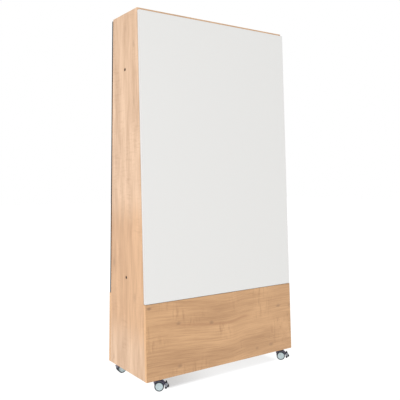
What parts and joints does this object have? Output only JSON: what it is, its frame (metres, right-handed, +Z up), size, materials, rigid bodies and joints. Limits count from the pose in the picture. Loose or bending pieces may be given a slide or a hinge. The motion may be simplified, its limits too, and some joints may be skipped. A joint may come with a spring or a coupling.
{
  "type": "rolling whiteboard",
  "caption": "Tall double-sided rolling board: tapered timber cabinet with a whiteboard in front, a felt pin board behind, timber lower boards and swivel castors, the front ones braked.",
  "frame": {"origin": "on the floor, under the middle of the cabinet", "axes": "+Z up, +X to the right as seen from the front, -Y the way the writing face looks"},
  "size_m": [1, 0.4471, 1.98],
  "materials": {
    "cabinet_timber": "matt, pale warm beech with a faint upright grain",
    "board_timber": "matt, honey-coloured pine with a lying grain and knots",
    "rail_timber": "sawn softwood",
    "board_core": "plain fibreboard",
    "writing_enamel": "smooth low-gloss white enamel",
    "backing_steel": "grey primed steel sheet",
    "edging_plastic": "satin white edging",
    "felt": "dark brown pressed felt",
    "bronzed_steel": "dark bronze connector bolt",
    "zinc_steel": "bright zinc plate",
    "zinc_casting": "grey die casting",
    "beech": "fluted beech dowel",
    "white_nylon": "natural nylon",
    "hood_plastic": "black moulded nylon",
    "wheel_plastic": "pale blue-grey moulded wheel face",
    "tyre_rubber": "dark grey soft tread",
    "lever_plastic": "pale grey moulded nylon",
    "pad_rubber": "black soft pad"
  },
  "bodies": {
    "root": {"side_panel_left": "cabinet_timber", "side_panel_right": "cabinet_timber", "top_panel": "cabinet_timber", "bottom_panel": "cabinet_timber", "upper_shelf": "cabinet_timber", "lower_shelf": "cabinet_timber", "front_joint_rail": "rail_timber", "rear_joint_rail": "rail_timber", "whiteboard_core": "board_core", "whiteboard_sheet": "writing_enamel", "whiteboard_back_sheet": "backing_steel", "whiteboard_edging": "edging_plastic", "front_lower_board": "board_timber", "pinboard_core": "board_core", "pinboard_felt": "felt", "rear_lower_board": "board_timber", "connecting_bolts": "bronzed_steel", "barrel_nuts": "zinc_steel", "cam_housings": "zinc_casting", "cam_bolts": "zinc_steel", "dowels": "beech", "panel_studs": "white_nylon", "panel_sockets": "white_nylon", "castor_screws": "zinc_steel", "castor_kingpins": "zinc_steel", "castor_thrust_washers": "white_nylon", "kingpin_snap_rings": "zinc_steel", "castor_plate_front_left": "zinc_steel", "castor_plate_front_right": "zinc_steel", "castor_plate_rear_left": "zinc_steel", "castor_plate_rear_right": "zinc_steel"},
    "swivel_front_left": {"castor_hood_front_left": "hood_plastic", "castor_axle_front_left": "zinc_steel"},
    "wheel_outer_front_left": {"wheel_core_outer_front_left": "wheel_plastic", "tyre_outer_front_left": "tyre_rubber"},
    "wheel_inner_front_left": {"wheel_core_inner_front_left": "wheel_plastic", "tyre_inner_front_left": "tyre_rubber"},
    "brake_front_left": {"brake_lever_front_left": "lever_plastic", "brake_pads_front_left": "pad_rubber"},
    "swivel_front_right": {"castor_hood_front_right": "hood_plastic", "castor_axle_front_right": "zinc_steel"},
    "wheel_outer_front_right": {"wheel_core_outer_front_right": "wheel_plastic", "tyre_outer_front_right": "tyre_rubber"},
    "wheel_inner_front_right": {"wheel_core_inner_front_right": "wheel_plastic", "tyre_inner_front_right": "tyre_rubber"},
    "brake_front_right": {"brake_lever_front_right": "lever_plastic", "brake_pads_front_right": "pad_rubber"},
    "swivel_rear_left": {"castor_hood_rear_left": "hood_plastic", "castor_axle_rear_left": "zinc_steel"},
    "wheel_outer_rear_left": {"wheel_core_outer_rear_left": "wheel_plastic", "tyre_outer_rear_left": "tyre_rubber"},
    "wheel_inner_rear_left": {"wheel_core_inner_rear_left": "wheel_plastic", "tyre_inner_rear_left": "tyre_rubber"},
    "swivel_rear_right": {"castor_hood_rear_right": "hood_plastic", "castor_axle_rear_right": "zinc_steel"},
    "wheel_outer_rear_right": {"wheel_core_outer_rear_right": "wheel_plastic", "tyre_outer_rear_right": "tyre_rubber"},
    "wheel_inner_rear_right": {"wheel_core_inner_rear_right": "wheel_plastic", "tyre_inner_rear_right": "tyre_rubber"}
  },
  "joints": [
    {"name": "castor_swivel_front_left", "type": "hinge", "parent": "root", "child": "swivel_front_left", "pos_m": [-0.425, -0.174, 0.045], "axis": [0, 0, 1], "continuous": true},
    {"name": "wheel_spin_outer_front_left", "type": "hinge", "parent": "swivel_front_left", "child": "wheel_outer_front_left", "pos_m": [-0.40823, -0.18489, 0.025], "axis": [0.5446, 0.8387, 0], "continuous": true},
    {"name": "wheel_spin_inner_front_left", "type": "hinge", "parent": "swivel_front_left", "child": "wheel_inner_front_left", "pos_m": [-0.40823, -0.18489, 0.025], "axis": [0.5446, 0.8387, 0], "continuous": true},
    {"name": "brake_press_front_left", "type": "hinge", "parent": "swivel_front_left", "child": "brake_front_left", "pos_m": [-0.37929, -0.20368, 0.0325], "axis": [0.5446, 0.8387, 0], "range_deg": [0, 17]},
    {"name": "castor_swivel_front_right", "type": "hinge", "parent": "root", "child": "swivel_front_right", "pos_m": [0.425, -0.174, 0.045], "axis": [0, 0, 1], "continuous": true},
    {"name": "wheel_spin_outer_front_right", "type": "hinge", "parent": "swivel_front_right", "child": "wheel_outer_front_right", "pos_m": [0.44032, -0.18686, 0.025], "axis": [0.6428, 0.766, 0], "continuous": true},
    {"name": "wheel_spin_inner_front_right", "type": "hinge", "parent": "swivel_front_right", "child": "wheel_inner_front_right", "pos_m": [0.44032, -0.18686, 0.025], "axis": [0.6428, 0.766, 0], "continuous": true},
    {"name": "brake_press_front_right", "type": "hinge", "parent": "swivel_front_right", "child": "brake_front_right", "pos_m": [0.46675, -0.20903, 0.0325], "axis": [0.6428, 0.766, 0], "range_deg": [0, 17]},
    {"name": "castor_swivel_rear_left", "type": "hinge", "parent": "root", "child": "swivel_rear_left", "pos_m": [-0.425, 0.174, 0.045], "axis": [0, 0, 1], "continuous": true},
    {"name": "wheel_spin_outer_rear_left", "type": "hinge", "parent": "swivel_rear_left", "child": "wheel_outer_rear_left", "pos_m": [-0.44489, 0.17609, 0.025], "axis": [-0.1045, -0.9945, 0], "continuous": true},
    {"name": "wheel_spin_inner_rear_left", "type": "hinge", "parent": "swivel_rear_left", "child": "wheel_inner_rear_left", "pos_m": [-0.44489, 0.17609, 0.025], "axis": [-0.1045, -0.9945, 0], "continuous": true},
    {"name": "castor_swivel_rear_right", "type": "hinge", "parent": "root", "child": "swivel_rear_right", "pos_m": [0.425, 0.174, 0.045], "axis": [0, 0, 1], "continuous": true},
    {"name": "wheel_spin_outer_rear_right", "type": "hinge", "parent": "swivel_rear_right", "child": "wheel_outer_rear_right", "pos_m": [0.44313, 0.16555, 0.025], "axis": [0.4226, 0.9063, 0], "continuous": true},
    {"name": "wheel_spin_inner_rear_right", "type": "hinge", "parent": "swivel_rear_right", "child": "wheel_inner_rear_right", "pos_m": [0.44313, 0.16555, 0.025], "axis": [0.4226, 0.9063, 0], "continuous": true}
  ]
}
